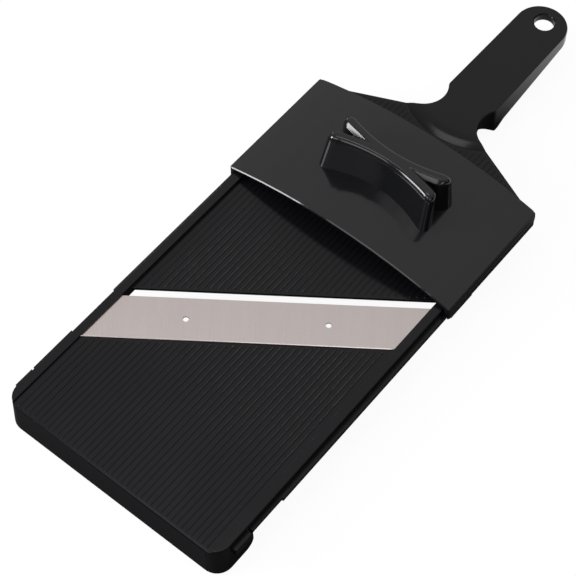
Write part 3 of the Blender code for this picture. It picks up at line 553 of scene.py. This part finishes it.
def make_floor():
    """A floor that is white to the camera and keeps the object's shadow, and that glows white to
    reflected rays only behind the handle, as a painted reflection.
    """
    work = bmesh.new()
    bmesh.ops.create_grid(work, x_segments=1, y_segments=1, size=FLOOR_SIZE)
    mesh = bpy.data.meshes.new("floor")
    work.to_mesh(mesh)
    work.free()
    floor = bpy.data.objects.new("floor", mesh)
    bpy.context.scene.collection.objects.link(floor)
    material, tree = new_material("pale floor")
    shader = tree.nodes["Principled BSDF"]
    shader.inputs["Base Color"].default_value = (*FLOOR_COLOUR, 1)
    shader.inputs["Roughness"].default_value = FLOOR_ROUGHNESS
    shader.inputs["Specular IOR Level"].default_value = 0.0
    shader.inputs["Emission Color"].default_value = (1, 1, 1, 1)
    ray = tree.nodes.new("ShaderNodeLightPath")
    # painted reflection: glossy and transmission rays see the floor glow white only in a band behind the
    # handle
    bounced = new_node(tree, "ShaderNodeMath", operation="ADD")
    place = tree.nodes.new("ShaderNodeTexCoord")
    way = new_node(tree, "ShaderNodeVectorMath", operation="DOT_PRODUCT")
    way.inputs[1].default_value = FLOOR_MIRRORED_WAY
    fade = new_node(tree, "ShaderNodeMapRange")
    fade.inputs["From Min"].default_value = FLOOR_MIRRORED_FROM
    fade.inputs["From Max"].default_value = FLOOR_MIRRORED_TO
    fade.inputs["To Max"].default_value = FLOOR_MIRRORED
    mirrored = new_node(tree, "ShaderNodeMath", operation="MULTIPLY")
    seen = new_node(tree, "ShaderNodeMath", operation="MULTIPLY_ADD")
    seen.inputs[1].default_value = FLOOR_WHITE
    tree.links.new(place.outputs["Object"], way.inputs[0])
    tree.links.new(way.outputs["Value"], fade.inputs["Value"])
    tree.links.new(ray.outputs["Is Glossy Ray"], bounced.inputs[0])
    tree.links.new(ray.outputs["Is Transmission Ray"], bounced.inputs[1])
    tree.links.new(bounced.outputs["Value"], mirrored.inputs[0])
    tree.links.new(fade.outputs["Result"], mirrored.inputs[1])
    tree.links.new(ray.outputs["Is Camera Ray"], seen.inputs[0])
    tree.links.new(mirrored.outputs["Value"], seen.inputs[2])
    tree.links.new(seen.outputs["Value"], shader.inputs["Emission Strength"])
    mesh.materials.append(material)


def make_world():
    """A soft studio, brighter towards the top, the left and the back, and white to the camera."""
    world = bpy.data.worlds.new("studio")
    world.use_nodes = True
    bpy.context.scene.world = world
    tree = world.node_tree
    back = tree.nodes["Background"]
    back.inputs["Color"].default_value = (1, 1, 1, 1)
    place = tree.nodes.new("ShaderNodeTexCoord")
    lowest = new_node(tree, "ShaderNodeMath", operation="MAXIMUM")
    lowest.inputs[1].default_value = STUDIO_LOWEST
    darker = new_node(tree, "ShaderNodeMath", operation="MINIMUM")
    sides = ((STUDIO_LEAN, STUDIO_LEVEL), (STUDIO_RIGHT_LEAN, STUDIO_RIGHT_LEVEL))
    for i, (direction, level) in enumerate(sides):
        lean = new_node(tree, "ShaderNodeVectorMath", operation="DOT_PRODUCT")
        lean.inputs[1].default_value = direction
        raised = new_node(tree, "ShaderNodeMath", operation="ADD")
        raised.inputs[1].default_value = level
        tree.links.new(place.outputs["Generated"], lean.inputs[0])
        tree.links.new(lean.outputs["Value"], raised.inputs[0])
        tree.links.new(raised.outputs["Value"], darker.inputs[i])
    ray = tree.nodes.new("ShaderNodeLightPath")
    seen = new_node(tree, "ShaderNodeMix", data_type="FLOAT")
    seen.inputs["B"].default_value = 1.0
    tree.links.new(darker.outputs["Value"], lowest.inputs[0])
    tree.links.new(ray.outputs["Is Camera Ray"], seen.inputs["Factor"])
    tree.links.new(lowest.outputs["Value"], seen.inputs["A"])
    tree.links.new(seen.outputs["Result"], back.inputs["Strength"])


def soft_box(name, direction, size, brightness):
    """A square lamp that faces the object."""
    light = bpy.data.lights.new(name, "AREA")
    light.shape = "SQUARE"
    light.size = size
    light.energy = brightness * math.pi * size**2
    lamp = bpy.data.objects.new(name, light)
    place = Vector(direction).normalized() * LAMP_DISTANCE
    lamp.location = place
    lamp.rotation_mode = "QUATERNION"
    lamp.rotation_quaternion = (-place).to_track_quat("-Z", "Y")
    bpy.context.scene.collection.objects.link(lamp)


def make_camera():
    """The camera at the photograph's angle."""
    lens = bpy.data.cameras.new("camera")
    lens.lens = CAMERA_LENS
    lens.sensor_width = CAMERA_SENSOR
    camera = bpy.data.objects.new("camera", lens)
    flat, up = math.cos(CAMERA_ELEVATION), math.sin(CAMERA_ELEVATION)
    back = Vector((math.sin(CAMERA_AZIMUTH) * flat, -math.cos(CAMERA_AZIMUTH) * flat, up))
    camera.location = CAMERA_TARGET + back * CAMERA_DISTANCE
    camera.rotation_euler = (math.pi / 2 - CAMERA_ELEVATION, 0, CAMERA_AZIMUTH)
    bpy.context.scene.collection.objects.link(camera)
    bpy.context.scene.camera = camera


def build():
    """The stage, the finishes and the pieces."""
    bpy.context.scene.view_settings.view_transform = "Standard"
    make_camera()
    make_world()
    for name, direction, width, brightness in LAMPS:
        soft_box(name, direction, width, brightness)
    make_floor()
    grain, lines = grain_group(), lines_group()
    board_plastic = black_plastic(
        "satin black plastic", grain, BOARD_BLACKS, BOARD_SPECULAR, BOARD_ROUGH, BOARD_GRAIN, BOARD_BUMP
    )
    guard_plastic = black_plastic(
        "gloss black plastic", grain, GUARD_BLACKS, GUARD_SPECULAR, GUARD_ROUGH, GUARD_GRAIN, GUARD_BUMP
    )
    blade_steel = ground_steel(
        "ground blade steel", lines, BLADE_STEELS, BLADE_ROUGH, BLADE_TURN, BLADE_LINES, BLADE_BUMP
    )
    pin_steel = ground_steel(
        "bright pin steel", lines, PIN_STEELS, PIN_ROUGH, PIN_TURN, PIN_LINES, PIN_BUMP
    )
    make_board(board_plastic)
    make_blade(blade_steel)
    make_plate(guard_plastic)
    make_grip(guard_plastic)
    make_carrier(guard_plastic)
    for node in NODES:
        if node.startswith(("pin_0", "pin_1", "grip_screw")):
            dress(node, pin_steel)


build()
